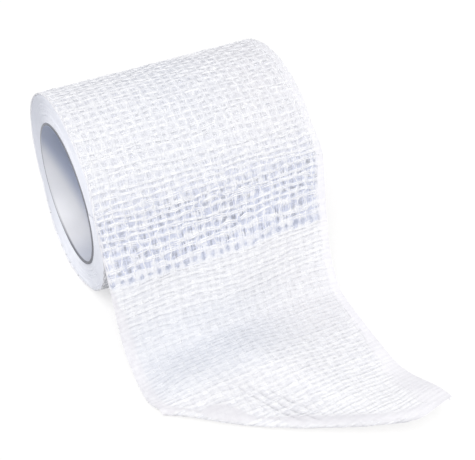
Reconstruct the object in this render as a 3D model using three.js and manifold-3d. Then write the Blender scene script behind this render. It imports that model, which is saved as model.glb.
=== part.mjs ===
// A narrow cohesive gauze bandage wound on a thin tubular core. Its loose end leaves the front of the
// roll, hangs down and lies forward on the surface, with one corner of the cut end turned under.
//
// Millimetres. +X runs along the roll's axis, the loose end comes towards -Y and +Z is up. The origin is
// the middle of the small flat spot on which the roll rests.
//
// The loose end is worked out from the flat cloth: `across` runs from its left edge at 0 to its right
// edge, and `along` from the line where it leaves the roll at 0 to the cut end.
import * as THREE from "three";
import { mergeVertices } from "three/addons/utils/BufferGeometryUtils.js";
import Module from "manifold-3d";

// The wound roll
const BANDAGE_WIDTH = 40;
const ROLL_RADIUS = 18.2;
const ROLL_EDGE_ROUNDING = 0.8;
const FLAT_SPOT_WIDTH = 6;
const AXIS_HEIGHT = Math.sqrt(ROLL_RADIUS ** 2 - (FLAT_SPOT_WIDTH / 2) ** 2);

// The core
const CORE_BORE_RADIUS = 12.4;
const CORE_WALL = 0.6;
const CORE_CLEARANCE = 0.3;
const WOUND_BORE_RADIUS = CORE_BORE_RADIUS + CORE_WALL + CORE_CLEARANCE;

// The loose end
const CLOTH = 1;
const LOOSE_LENGTH = 57.7;
const LEAVES_AT = THREE.MathUtils.degToRad(19); // above the level of the roll's axis
const TURN_WHILE_HANGING = THREE.MathUtils.degToRad(5.6);
const BEND_RADIUS = 11.5; // where the hanging cloth turns to lie on the surface

// The last stretch still wound, inside the roll: the outermost turn stands a little proud of it where
// it leaves, and is sunk in the roll where this solid starts.
const WOUND_LEAD = 5;
const PROUD = 0.12;
const LEAD_SINK = 1.2;
const LEAD_NARROWING = 1.6;

// The corner turned under. The fold starts on the left edge, runs straight at a slope to the cut end and
// rounds off into it. Its radius grows from the left edge inwards. The cloth under it bunches a little.
const FOLD_START = 33.7;
const FOLD_SLOPE = THREE.MathUtils.degToRad(34.3);
const FOLD_ROUNDING = 40;
const FOLD_RADIUS_AT_EDGE = 0.8;
const FOLD_RADIUS_INSIDE = 1.6;
const FOLD_RADIUS_GROWS_OVER = 14;
const TUCKED_SHARE = 0.8;
const DRAPE_MARGIN = 1; // how far past the tucked cloth the upper layer stays level
const DRAPE_FALL = 13; // over which it then comes down to the surface

// How the two edges stray sideways from the roll's own width, and how far the right edge is lifted, at
// stations along the loose end.
const STATION_STEP = 12;
const STATIONS = [
  { leftEdge: -0.4, rightEdge: 0.9, rightLift: 0 },
  { leftEdge: -0.6, rightEdge: 0, rightLift: 0 },
  { leftEdge: -0.8, rightEdge: -0.8, rightLift: 0 },
  { leftEdge: -1, rightEdge: -1.7, rightLift: 0.5 },
  { leftEdge: -1.1, rightEdge: -1.9, rightLift: 1.9 },
  { leftEdge: -1.3, rightEdge: -1.5, rightLift: 5 },
];

// A shallow slack wave in the hanging cloth
const WAVE_HEIGHT = 0.35;
const WAVE_LENGTH_ACROSS = 26;
const WAVE_SLANT = 0.6;

// Facets
const ROUND_STEPS = 72;
const EDGE_ROUNDING_STEPS = 3;
const COLUMNS = 32;
const ROWS = { lead: 2, hanging: 6, bend: 8, lying: 24 };

const wasm = await Module();
wasm.setup();

const { clamp, lerp, smoothstep } = THREE.MathUtils;

// ---- the path of the loose end seen from the side: two arcs and a straight line -------------------

const LEAVE_RADIUS = ROLL_RADIUS + PROUD - CLOTH / 2;
const LEAVE_FORWARD = LEAVE_RADIUS * Math.cos(LEAVES_AT);
const LEAVE_HEIGHT = AXIS_HEIGHT + LEAVE_RADIUS * Math.sin(LEAVES_AT);
// Headings are angles above straight forward, so a cloth that hangs plumb has a heading of -90 degrees.
const START_HEADING = LEAVES_AT - Math.PI / 2;
const HUNG_HEADING = START_HEADING + TURN_WHILE_HANGING;
const HANGING_RADIUS =
  (LEAVE_HEIGHT - CLOTH / 2 - BEND_RADIUS * (1 - Math.cos(HUNG_HEADING))) /
  (Math.cos(HUNG_HEADING) - Math.cos(START_HEADING));
const HANGING_LENGTH = HANGING_RADIUS * TURN_WHILE_HANGING;
const BEND_LENGTH = -BEND_RADIUS * HUNG_HEADING;

// How far an arc of a given radius carries the cloth forward and down between two headings.
function arc(radius, from, to) {
  return {
    forward: radius * (Math.sin(to) - Math.sin(from)),
    down: radius * (Math.cos(to) - Math.cos(from)),
  };
}

function path(along) {
  if (along < 0) {
    const angle = LEAVES_AT - along / LEAVE_RADIUS;
    const radius = LEAVE_RADIUS + (LEAD_SINK * along) / WOUND_LEAD;
    return { forward: radius * Math.cos(angle), height: AXIS_HEIGHT + radius * Math.sin(angle) };
  }
  const hanging = Math.min(along, HANGING_LENGTH);
  const bending = clamp(along - HANGING_LENGTH, 0, BEND_LENGTH);
  const lying = Math.max(along - HANGING_LENGTH - BEND_LENGTH, 0);
  const hung = arc(HANGING_RADIUS, START_HEADING, START_HEADING + hanging / HANGING_RADIUS);
  const bent = arc(BEND_RADIUS, HUNG_HEADING, HUNG_HEADING + bending / BEND_RADIUS);
  return {
    forward: LEAVE_FORWARD + hung.forward + bent.forward + lying,
    height: LEAVE_HEIGHT - hung.down - bent.down,
  };
}

// A column of STATIONS at any place along the loose end, on a smooth curve through its values.
function atStation(column, along) {
  const last = STATIONS.length - 1;
  const place = clamp(along / STATION_STEP, 0, last);
  const start = Math.min(Math.floor(place), last - 1);
  const t = place - start;
  const value = (i) => STATIONS[clamp(i, 0, last)][column];
  const slopeIn = (value(start + 1) - value(start - 1)) / 2;
  const slopeOut = (value(start + 2) - value(start)) / 2;
  const rise = value(start + 1) - value(start);
  const bow = (3 * rise - 2 * slopeIn - slopeOut) * t ** 2 + (slopeIn + slopeOut - 2 * rise) * t ** 3;
  return value(start) + slopeIn * t + bow;
}

// ---- the corner turned under ----------------------------------------------------------------------

// The fold's straight stretch and the cut end are both tangent to one circle.
const FOLD_CENTRE = {
  along: LOOSE_LENGTH - FOLD_ROUNDING,
  across:
    (FOLD_ROUNDING + (LOOSE_LENGTH - FOLD_ROUNDING - FOLD_START) * Math.cos(FOLD_SLOPE)) /
    Math.sin(FOLD_SLOPE),
};

// Where the flat cloth's point comes to lie once the corner is turned under, and how high above the
// cloth that lies flat.
function turnUnder(across, along) {
  const fromCentre = { across: across - FOLD_CENTRE.across, along: along - FOLD_CENTRE.along };
  let angle = Math.atan2(fromCentre.along, fromCentre.across);
  if (angle < -Math.PI / 2) angle += 2 * Math.PI;
  const outAngle = clamp(angle, Math.PI / 2, Math.PI / 2 + FOLD_SLOPE);
  const out = { across: Math.cos(outAngle), along: Math.sin(outAngle) };
  const past = fromCentre.across * out.across + fromCentre.along * out.along - FOLD_ROUNDING;
  const foot = { across: across - past * out.across, along: along - past * out.along };

  const grown = smoothstep(foot.across, 0, FOLD_RADIUS_GROWS_OVER);
  const radius = lerp(FOLD_RADIUS_AT_EDGE, FOLD_RADIUS_INSIDE, grown);
  const roundTheFold = Math.PI * radius;
  const toLeftEdge = out.across < -1e-6 ? foot.across / -out.across : Infinity;
  const toCutEnd = (LOOSE_LENGTH - foot.along) / out.along;
  const tuckedDepth = Math.max(TUCKED_SHARE * (Math.min(toLeftEdge, toCutEnd) - roundTheFold), 0);

  let reach = past;
  let height = 2 * radius;
  if (past <= 0) {
    height *= 1 - smoothstep(-past - tuckedDepth - DRAPE_MARGIN, 0, DRAPE_FALL);
  } else if (past < roundTheFold) {
    reach = radius * Math.sin(past / radius);
    height = radius * (1 + Math.cos(past / radius));
  } else {
    reach = -TUCKED_SHARE * (past - roundTheFold);
    height = 0;
  }
  return { across: foot.across + reach * out.across, along: foot.along + reach * out.along, height };
}

// ---- the middle of the loose cloth ----------------------------------------------------------------

function looseCloth(flatAcross, flatAlong) {
  const { across, along, height } = turnUnder(flatAcross, flatAlong);
  const share = across / BANDAGE_WIDTH;
  const narrowing = LEAD_NARROWING * clamp(-along / WOUND_LEAD, 0, 1);
  const left = atStation("leftEdge", along) + narrowing;
  const right = BANDAGE_WIDTH + atStation("rightEdge", along) - narrowing;
  const side = path(along);

  const lying = smoothstep(along, HANGING_LENGTH, HANGING_LENGTH + BEND_LENGTH);
  const hanging = smoothstep(along, 0, HANGING_LENGTH) * (1 - lying);
  const wave = Math.sin((2 * Math.PI * (across + WAVE_SLANT * along)) / WAVE_LENGTH_ACROSS);
  const lift = atStation("rightLift", along) * smoothstep(share, 0, 1);
  return new THREE.Vector3(
    lerp(left, right, share) - BANDAGE_WIDTH / 2,
    -side.forward - WAVE_HEIGHT * wave * hanging,
    side.height + height * lying + lift,
  );
}

// ---- solids ---------------------------------------------------------------------------------------

function rowPlaces() {
  const stretches = [
    { from: -WOUND_LEAD, to: 0, rows: ROWS.lead },
    { from: 0, to: HANGING_LENGTH, rows: ROWS.hanging },
    { from: HANGING_LENGTH, to: HANGING_LENGTH + BEND_LENGTH, rows: ROWS.bend },
    { from: HANGING_LENGTH + BEND_LENGTH, to: LOOSE_LENGTH, rows: ROWS.lying },
  ];
  const places = [-WOUND_LEAD];
  for (const { from, to, rows } of stretches) {
    for (let i = 1; i <= rows; i++) places.push(lerp(from, to, i / rows));
  }
  return places;
}

// The loose end as a closed sheet: its face and its back, half the cloth's thickness to each side of the
// middle, and a wall round its four edges. Nothing goes below the surface.
function looseEndGeometry() {
  const places = rowPlaces();
  const rows = places.length;
  const columns = COLUMNS + 1;
  const nudge = 0.05;
  const positions = [];
  for (const side of [1, -1]) {
    for (const along of places) {
      for (let column = 0; column < columns; column++) {
        const across = (BANDAGE_WIDTH * column) / COLUMNS;
        const middle = looseCloth(across, along);
        const alongStep = looseCloth(across, along + nudge).sub(looseCloth(across, along - nudge));
        const acrossStep = looseCloth(across + nudge, along).sub(looseCloth(across - nudge, along));
        const outward = alongStep.cross(acrossStep).normalize();
        middle.addScaledVector(outward, (side * CLOTH) / 2);
        positions.push(middle.x, middle.y, Math.max(middle.z, 0));
      }
    }
  }

  const index = [];
  const face = (row, column) => row * columns + column;
  const back = (row, column) => rows * columns + row * columns + column;
  const quad = (a, b, c, d) => index.push(a, b, c, a, c, d);
  for (let row = 0; row < rows - 1; row++) {
    for (let column = 0; column < COLUMNS; column++) {
      const [nextRow, next] = [row + 1, column + 1];
      quad(face(row, column), face(nextRow, column), face(nextRow, next), face(row, next));
      quad(back(row, column), back(row, next), back(nextRow, next), back(nextRow, column));
    }
    quad(face(row, 0), back(row, 0), back(row + 1, 0), face(row + 1, 0));
    quad(face(row + 1, COLUMNS), back(row + 1, COLUMNS), back(row, COLUMNS), face(row, COLUMNS));
  }
  for (let column = 0; column < COLUMNS; column++) {
    const [next, end] = [column + 1, rows - 1];
    quad(face(0, next), back(0, next), back(0, column), face(0, column));
    quad(face(end, column), back(end, column), back(end, next), face(end, next));
  }

  const geometry = new THREE.BufferGeometry();
  geometry.setAttribute("position", new THREE.Float32BufferAttribute(positions, 3));
  geometry.setIndex(index);
  return geometry;
}

// Turns a closed profile of (radius, place along the axis) points round the roll's axis.
function turned(profile) {
  const geometry = new THREE.LatheGeometry([...profile, profile[0].clone()], ROUND_STEPS);
  geometry.rotateZ(-Math.PI / 2);
  geometry.translate(0, 0, AXIS_HEIGHT);
  return geometry;
}

function woundRollGeometry() {
  const end = BANDAGE_WIDTH / 2;
  const profile = [new THREE.Vector2(WOUND_BORE_RADIUS, end), new THREE.Vector2(WOUND_BORE_RADIUS, -end)];
  for (const [side, from, to] of [[-1, -Math.PI / 2, 0], [1, 0, Math.PI / 2]]) {
    for (let i = 0; i <= EDGE_ROUNDING_STEPS; i++) {
      const angle = lerp(from, to, i / EDGE_ROUNDING_STEPS);
      profile.push(
        new THREE.Vector2(
          ROLL_RADIUS - ROLL_EDGE_ROUNDING * (1 - Math.cos(angle)),
          side * (end - ROLL_EDGE_ROUNDING) + ROLL_EDGE_ROUNDING * Math.sin(angle),
        ),
      );
    }
  }
  return turned(profile);
}

function coreGeometry() {
  const end = BANDAGE_WIDTH / 2;
  const outer = CORE_BORE_RADIUS + CORE_WALL;
  return turned([
    new THREE.Vector2(CORE_BORE_RADIUS, end),
    new THREE.Vector2(CORE_BORE_RADIUS, -end),
    new THREE.Vector2(outer, -end),
    new THREE.Vector2(outer, end),
  ]);
}

function solidOf(geometry) {
  const bare = geometry.clone();
  bare.deleteAttribute("normal");
  bare.deleteAttribute("uv");
  const merged = mergeVertices(bare, 1e-4);
  return new wasm.Manifold(
    new wasm.Mesh({
      numProp: 3,
      vertProperties: merged.attributes.position.array,
      triVerts: new Uint32Array(merged.index.array),
    }),
  );
}

function geometryOf(solid) {
  const { vertProperties, triVerts } = solid.getMesh();
  const geometry = new THREE.BufferGeometry();
  geometry.setAttribute("position", new THREE.BufferAttribute(vertProperties, 3));
  geometry.setIndex(new THREE.BufferAttribute(triVerts, 1));
  geometry.computeVertexNormals();
  return geometry;
}

// What lies below the surface, taken off the roll to leave its flat spot.
function belowSurface() {
  const depth = 4;
  const box = new THREE.BoxGeometry(2 * BANDAGE_WIDTH, 2 * ROLL_RADIUS, depth);
  box.translate(0, 0, -depth / 2);
  return solidOf(box);
}

// ---- the pieces -----------------------------------------------------------------------------------

// The bandage is one piece of cloth, so its wound roll and its loose end are one solid.
function makeBandage() {
  const roll = solidOf(woundRollGeometry()).subtract(belowSurface());
  const bandage = new THREE.Mesh(
    geometryOf(roll.add(solidOf(looseEndGeometry()))),
    new THREE.MeshStandardMaterial({ color: 0xf0f1f6, roughness: 0.95, metalness: 0 }),
  );
  bandage.name = "bandage";
  return bandage;
}

function makeCore() {
  const core = new THREE.Mesh(
    coreGeometry(),
    new THREE.MeshStandardMaterial({ color: 0xe2e3e8, roughness: 0.5, metalness: 0 }),
  );
  core.name = "core";
  return core;
}

const bandageRoll = new THREE.Group();
bandageRoll.add(makeBandage(), makeCore());

export default bandageRoll;
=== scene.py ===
"""A narrow cohesive gauze bandage on its core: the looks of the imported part.

The cloth is worked out flat, in millimetres. `across` runs from its left selvedge at 0 to its right one,
and `along` from the line where the loose end leaves the roll at 0 to the cut end, so it is below 0 on the
outermost wound turn. One function lays that flat cloth on the roll and down to the surface, and every
yarn of the weave and the fine fluff between the yarns follow it.
"""

import math

import bpy
import numpy as np
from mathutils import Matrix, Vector


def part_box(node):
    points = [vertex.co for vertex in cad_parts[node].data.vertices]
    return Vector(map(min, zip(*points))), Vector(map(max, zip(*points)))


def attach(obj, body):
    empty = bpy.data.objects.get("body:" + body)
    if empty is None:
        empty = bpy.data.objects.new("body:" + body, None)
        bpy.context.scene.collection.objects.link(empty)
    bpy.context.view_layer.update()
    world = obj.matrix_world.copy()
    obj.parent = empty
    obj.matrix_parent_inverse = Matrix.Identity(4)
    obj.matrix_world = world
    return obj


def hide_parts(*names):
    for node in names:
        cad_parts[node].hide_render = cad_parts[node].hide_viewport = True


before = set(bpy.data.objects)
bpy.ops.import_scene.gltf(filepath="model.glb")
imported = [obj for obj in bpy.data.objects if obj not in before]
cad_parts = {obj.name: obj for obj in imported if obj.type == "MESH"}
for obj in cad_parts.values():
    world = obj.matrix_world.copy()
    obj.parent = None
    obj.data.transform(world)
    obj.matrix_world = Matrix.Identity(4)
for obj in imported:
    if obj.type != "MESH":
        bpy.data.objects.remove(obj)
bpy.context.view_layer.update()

MM = 0.001
TURN = 2 * math.pi

# ---- sizes from the frame, in millimetres ----

core_low, core_high = (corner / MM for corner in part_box("core"))
BANDAGE_WIDTH = core_high.x - core_low.x
AXIS_HEIGHT = (core_low.z + core_high.z) / 2
CORE_RADIUS = (core_high.z - core_low.z) / 2
ROLL_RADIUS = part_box("bandage")[1].y / MM

# ---- the weave, in millimetres ----

COLUMN_PITCH = 1.58  # between the pairs of warp yarns
FIRST_COLUMN = 1.45
COLUMNS = 24
LEFT_SELVEDGE_WARPS = (0.12, 0.4)  # how far each lies from the edge
RIGHT_SELVEDGE_WARPS = (0.14, 0.5, 0.88, 1.3, 1.7)
ROW_PITCH = 1.1  # between the double weft yarns
WEFT_SPREAD = 0.1  # half the distance between the two wefts of a row on the roll
LOOSE_WEFT_SPREAD = 0.26
WEFT_HALF_WIDTH = 0.115
WEFT_HALF_THICKNESS = 0.095
WEFT_WAVE = 0.06  # how far it goes over and under the warps
WEFT_SLUBS = 0.2  # its thick and thin places, as a share
WARP_SPREAD = 0.28
WARP_RADIUS = 0.095
WARP_WAVE = 0.1
WARP_SLUBS = 0.15
WARP_SLUBS_FROM = 50  # their own part of the drift
SELVEDGE_BULGE = -0.08  # the wefts turn back this far out past the edge, so just inside it
LAYER = 0.44  # thickness of the open cloth, with its crossings
WOUND_LAYER = 0.22  # a turn's share of the tightly wound roll

# ---- the loose end, in millimetres: much the same shape as its solid's ----

CLOTH = 1.0  # the solid's thickness
LOOSE_LENGTH = 57.7
LEAVES_AT = math.radians(19)
TURN_WHILE_HANGING = math.radians(5.6)
BEND_RADIUS = 11.5
PROUD = 0.12
FOLD_START = 35.8
FOLD_SLOPE = math.radians(32.3)
FOLD_ROUNDING = 26
FOLD_RADIUS_AT_EDGE = 0.35
FOLD_RADIUS_INSIDE = 0.6
FOLD_RADIUS_GROWS_OVER = 14
NEAR_FOLD = (FOLD_START - 6, FOLD_START + 1)  # where the left edge nears the fold
TUCKED_SHARE = 0.8
DRAPE_MARGIN = 1
DRAPE_FALL = 13
STATION_STEP = 12
LEFT_EDGE = (-0.4, -0.6, -0.8, -1, -1.1, -1.3)
RIGHT_EDGE = (0.9, 0, -0.8, -1.7, -1.9, -1.8)
RIGHT_LIFT = (0, 0, 0, 0.5, 1.9, 5)
STEPS_OUT_OVER = 7  # the last wound stretch over which the cloth strays to the loose end's edges
ROWS_RELAX = 0.55  # how much further apart the rows lie on the loose end than on the roll
ROWS_RELAX_FROM = -1.5
ROWS_RELAX_OVER = 10
TIP_LIFT = 1.8  # the far corner turns up a little more
TIP_ACROSS = (29, 41)
TIP_ALONG = (42, 58)
CORNER_DRAWN_IN = 1.3  # the left edge curves in to the fold
CORNER_DRAWN_BACK = 1.0  # and the fold curves back to it
CORNER_WIDTH = 7
HUMP_HEIGHT = 1.2  # past a faint crease the lying cloth rises and falls again
HUMP_START = 25
HUMP_TOP = 30.5
HUMP_END = 46
HUMP_GROWS_OVER = 7  # from the left edge inwards
SLACK_HEIGHT = 0.35  # what lies on the surface doesn't lie quite flat
TELESCOPED = 0.6  # low on the roll its left end stands out a little
TELESCOPED_AT = math.radians(252)
TELESCOPED_FADES = (math.radians(48), math.radians(8))
WAVE_HEIGHT = 0.35
WAVE_LENGTH_ACROSS = 26
WAVE_SLANT = 0.6

LEAVE_RADIUS = ROLL_RADIUS + PROUD - CLOTH / 2
OUTER_TURN_LENGTH = TURN * (LEAVE_RADIUS - LAYER / 2)
LOOSENS_AT = 8.8  # the row below which the loose end hangs free of the roll's shade
WEAVE_LENGTH = (LOOSE_LENGTH + ROWS_RELAX * (ROWS_RELAX_FROM + ROWS_RELAX_OVER / 2)) / (1 + ROWS_RELAX)


# ---- shape functions on arrays ----


def fade(value, low, high):
    """0 at low and 1 at high, smoothly, whichever of them is the larger."""
    t = np.clip((value - low) / (high - low), 0, 1)
    return t * t * (3 - 2 * t)


def within(value, comes, goes):
    """1 between the places where something comes and goes, and 0 beyond them."""
    return fade(value, *comes) * fade(value, *goes)


def unit(vectors):
    return vectors / np.linalg.norm(vectors, axis=-1, keepdims=True)


DRIFT_COLUMNS = 64
DRIFT_ROWS = 256


class Drift:
    """Smooth seeded noise from -1 to 1 over the flat cloth, with one value at each corner of its cells."""

    def __init__(self, seed, cell_across, cell_along, first_across=0.0):
        self.values = np.random.default_rng(seed).uniform(-1, 1, (DRIFT_COLUMNS, DRIFT_ROWS))
        self.cell_across = cell_across
        self.cell_along = cell_along
        self.first_across = first_across

    def __call__(self, across, along):
        u = (across - self.first_across) / self.cell_across
        v = along / self.cell_along
        column, row = np.floor(u).astype(int), np.floor(v).astype(int)
        tu, tv = fade(u - column, 0, 1), fade(v - row, 0, 1)

        def corner(i, j):
            return self.values[(column + i) % DRIFT_COLUMNS, (row + j) % DRIFT_ROWS]

        near = corner(0, 0) * (1 - tu) + corner(1, 0) * tu
        far = corner(0, 1) * (1 - tu) + corner(1, 1) * tu
        return near * (1 - tv) + far * tv


def at_station(values, along):
    """A station table's value at any place along the loose end, on a smooth curve through its values."""
    values = np.array(values, float)
    last = len(values) - 1
    place = np.clip(along / STATION_STEP, 0, last)
    start = np.minimum(np.floor(place).astype(int), last - 1)
    t = place - start

    def value(i):
        return values[np.clip(i, 0, last)]

    slope_in = (value(start + 1) - value(start - 1)) / 2
    slope_out = (value(start + 2) - value(start)) / 2
    rise = value(start + 1) - value(start)
    bow = (3 * rise - 2 * slope_in - slope_out) * t**2 + (slope_in + slope_out - 2 * rise) * t**3
    return value(start) + slope_in * t + bow


START_HEADING = LEAVES_AT - math.pi / 2
HUNG_HEADING = START_HEADING + TURN_WHILE_HANGING
LEAVE_HEIGHT = AXIS_HEIGHT + LEAVE_RADIUS * math.sin(LEAVES_AT)
HANGING_RADIUS = (LEAVE_HEIGHT - CLOTH / 2 - BEND_RADIUS * (1 - math.cos(HUNG_HEADING))) / (
    math.cos(HUNG_HEADING) - math.cos(START_HEADING)
)
HANGING_LENGTH = HANGING_RADIUS * TURN_WHILE_HANGING
BEND_LENGTH = -BEND_RADIUS * HUNG_HEADING


def arc(radius, start, end):
    """How far an arc carries the cloth forward and down between two headings."""
    return radius * (np.sin(end) - np.sin(start)), radius * (np.cos(end) - np.cos(start))


def wound_angle(along):
    """Where round the roll the outermost turn is, from straight forward and over the top."""
    return LEAVES_AT - np.minimum(along, 0) / (LEAVE_RADIUS - LAYER / 2)


def telescoped(angle):
    """How far the roll's left end stands out at a place round it."""
    return TELESCOPED * fade(np.abs(angle - TELESCOPED_AT), *TELESCOPED_FADES)


def path(along):
    """How far forward and how high the cloth lies, seen from the side."""
    wound = np.minimum(along, 0)
    angle = wound_angle(along)
    radius = LEAVE_RADIUS + LAYER * wound / OUTER_TURN_LENGTH
    hanging = np.clip(along, 0, HANGING_LENGTH)
    bending = np.clip(along - HANGING_LENGTH, 0, BEND_LENGTH)
    lying = np.maximum(along - HANGING_LENGTH - BEND_LENGTH, 0)
    hung_forward, hung_down = arc(HANGING_RADIUS, START_HEADING, START_HEADING + hanging / HANGING_RADIUS)
    bent_forward, bent_down = arc(BEND_RADIUS, HUNG_HEADING, HUNG_HEADING + bending / BEND_RADIUS)
    return (
        radius * np.cos(angle) + hung_forward + bent_forward + lying,
        AXIS_HEIGHT + radius * np.sin(angle) - hung_down - bent_down,
    )


FOLD_CENTRE_ALONG = LOOSE_LENGTH - FOLD_ROUNDING
FOLD_CENTRE_REACH = FOLD_ROUNDING + (FOLD_CENTRE_ALONG - FOLD_START) * math.cos(FOLD_SLOPE)
FOLD_CENTRE_ACROSS = FOLD_CENTRE_REACH / math.sin(FOLD_SLOPE)
NEARLY_ZERO = 1e-6
FAR_AWAY = 1e6


def past_fold(across, along):
    """How far a point of the flat cloth lies past the fold, and the direction straight away from the fold."""
    from_across, from_along = across - FOLD_CENTRE_ACROSS, along - FOLD_CENTRE_ALONG
    angle = np.arctan2(from_along, from_across)
    angle = np.where(angle < -math.pi / 2, angle + TURN, angle)
    out_angle = np.clip(angle, math.pi / 2, math.pi / 2 + FOLD_SLOPE)
    out_across, out_along = np.cos(out_angle), np.sin(out_angle)
    return from_across * out_across + from_along * out_along - FOLD_ROUNDING, out_across, out_along


def fold_radius(foot_across):
    grown = fade(foot_across, 0, FOLD_RADIUS_GROWS_OVER)
    return FOLD_RADIUS_AT_EDGE + (FOLD_RADIUS_INSIDE - FOLD_RADIUS_AT_EDGE) * grown


def turn_under(across, along):
    """Where a point of the flat cloth lies once the corner is turned under, and how high."""
    past, out_across, out_along = past_fold(across, along)
    foot_across, foot_along = across - past * out_across, along - past * out_along
    radius = fold_radius(foot_across)
    round_fold = math.pi * radius
    leftwards = np.maximum(-out_across, NEARLY_ZERO)
    to_left_edge = np.where(leftwards > NEARLY_ZERO, foot_across / leftwards, FAR_AWAY)
    to_cut_end = (LOOSE_LENGTH - foot_along) / out_along
    tucked_depth = np.maximum(TUCKED_SHARE * (np.minimum(to_left_edge, to_cut_end) - round_fold), 0)

    turning = np.clip(past, 0, round_fold) / radius
    fallen = fade(-past - tucked_depth - DRAPE_MARGIN, 0, DRAPE_FALL)
    tucked = past >= round_fold
    round_reach = np.where(tucked, -TUCKED_SHARE * (past - round_fold), radius * np.sin(turning))
    round_height = np.where(tucked, 0, radius * (1 + np.cos(turning)))
    reach = np.where(past <= 0, past, round_reach)
    height = np.where(past <= 0, 2 * radius * (1 - fallen), round_height)
    return foot_across + reach * out_across, foot_along + reach * out_along, height


def tucked_below(across, along):
    """How far along the flat cloth the point lies that is tucked below a point of its upper layer."""
    past, out_across, out_along = past_fold(across, along)
    beyond = math.pi * fold_radius(across - past * out_across) - past / TUCKED_SHARE
    return along + (beyond - past) * out_along


SLACK = Drift(11, 9, 8)
PUCKER = Drift(12, 2.6, 2.3)


def laid_cloth(flat_across, flat_along):
    """The middle of the cloth, in millimetres, where it lies on the roll or on the surface."""
    across, along, height = turn_under(flat_across, flat_along)
    share = across / BANDAGE_WIDTH
    stepped_out = fade(along, -STEPS_OUT_OVER, 0)
    near_fold = fade(along, *NEAR_FOLD)
    drawn_in = CORNER_DRAWN_IN * near_fold**2
    left = at_station(LEFT_EDGE, along) * stepped_out + drawn_in - telescoped(wound_angle(along))
    right = BANDAGE_WIDTH + at_station(RIGHT_EDGE, along) * stepped_out
    drawn_back = CORNER_DRAWN_BACK * fade(across, CORNER_WIDTH, 0) * near_fold
    forward, up = path(along - drawn_back)

    lying = fade(along, HANGING_LENGTH, HANGING_LENGTH + BEND_LENGTH)
    hanging = fade(along, 0, HANGING_LENGTH) * (1 - lying)
    wave = np.sin(TURN * (across + WAVE_SLANT * along) / WAVE_LENGTH_ACROSS)
    lift = at_station(RIGHT_LIFT, along) * fade(share, 0, 1)
    lift += TIP_LIFT * fade(across, *TIP_ACROSS) * fade(along, *TIP_ALONG)
    slack = SLACK_HEIGHT * (1 + SLACK(flat_across, flat_along)) * lying
    rise = np.sin(math.pi / 2 * np.clip((along - HUMP_START) / (HUMP_TOP - HUMP_START), 0, 1))
    hump = HUMP_HEIGHT * rise * fade(along, HUMP_END, HUMP_TOP) * fade(across, 0, HUMP_GROWS_OVER)
    settled = (CLOTH - LAYER) / 2 * lying
    x = left + (right - left) * share - BANDAGE_WIDTH / 2
    y = -forward - WAVE_HEIGHT * wave * hanging
    z = np.maximum(up + height * lying + lift + slack + hump - settled, LAYER / 2)
    return np.stack([x, y, z], axis=-1)


def cloth_frame(across, along):
    """The cloth's middle and the direction that its outer face looks in."""
    step = 0.03
    down = laid_cloth(across, along + step) - laid_cloth(across, along - step)
    over = laid_cloth(across + step, along) - laid_cloth(across - step, along)
    return laid_cloth(across, along), unit(np.cross(down, over))


ROW_STRAYS = (  # each with how far it goes on the loose end, and how much further on the roll
    (Drift(21, 1.8, ROW_PITCH), 0.09, 0.09),
    (Drift(25, 9, ROW_PITCH), 0.06, 0.3),
    (Drift(22, 11, 6), 0.12, 0.23),
)
COLUMN_STRAYS = ((Drift(23, COLUMN_PITCH, 1.9, FIRST_COLUMN), 0.2), (Drift(24, 8, 9), 0.25))
STRAYS_LESS = (10, 7)  # where in the weave the further strays of the roll die out
SELVEDGE_STRAYS = 0.25  # the selvedges' share of the columns' strays
HELD_OVER = 3  # how far in from the selvedges and the cut the yarns are held
PUCKER_HEIGHT = 0.07


def relaxed(along):
    """Where a row of the weave lies in the flat cloth, with its rows further apart on the loose end."""
    t = np.clip((along - ROWS_RELAX_FROM) / ROWS_RELAX_OVER, 0, 1)
    past = np.maximum(along - ROWS_RELAX_FROM - ROWS_RELAX_OVER, 0)
    return along + ROWS_RELAX * (ROWS_RELAX_OVER * (t**3 - t**4 / 2) + past)


def crept(across, along):
    """Where a point of the regular weave lies in the flat cloth, pulled about by the crepe."""
    from_edge = np.minimum(across, BANDAGE_WIDTH - across)
    inside = SELVEDGE_STRAYS + (1 - SELVEDGE_STRAYS) * fade(from_edge, 0, HELD_OVER)
    before_cut = fade(WEAVE_LENGTH - along, 0, HELD_OVER)
    wound = fade(along, *STRAYS_LESS)
    rows = sum((loose + more * wound) * drift(across, along) for drift, loose, more in ROW_STRAYS)
    columns = sum(by * drift(across, along) for drift, by in COLUMN_STRAYS)
    return across + columns * inside, relaxed(along + rows * before_cut)


def woven(across, along):
    """The cloth's middle and outward direction at a point of the regular weave, with its small puckers."""
    middle, outward = cloth_frame(*crept(across, along))
    return middle + PUCKER_HEIGHT * PUCKER(across, along)[..., None] * outward, outward


BEND_SHADE = 0.31
BEND_SHADE_COMES = (17, 21)
BEND_SHADE_GOES = (36, 31.5)
CREASE_SHADE = 0.19
CREASE_SHADE_COMES = (HUMP_START - 1, HUMP_START + 0.6)
CREASE_SHADE_GOES = (33, 29.5)
CREASE_FADES_TO_LEFT = (-3, 8)
CREASE_FADES_TO_RIGHT = (22, 36)
FOLD_SHADE = 0.15
FOLD_SHADE_COMES = (-0.9, 0.1)  # past the fold
FOLD_SHADE_GOES = (2, 1.2)
FOLD_SHADE_TO_RIGHT = (30, 16)


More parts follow.
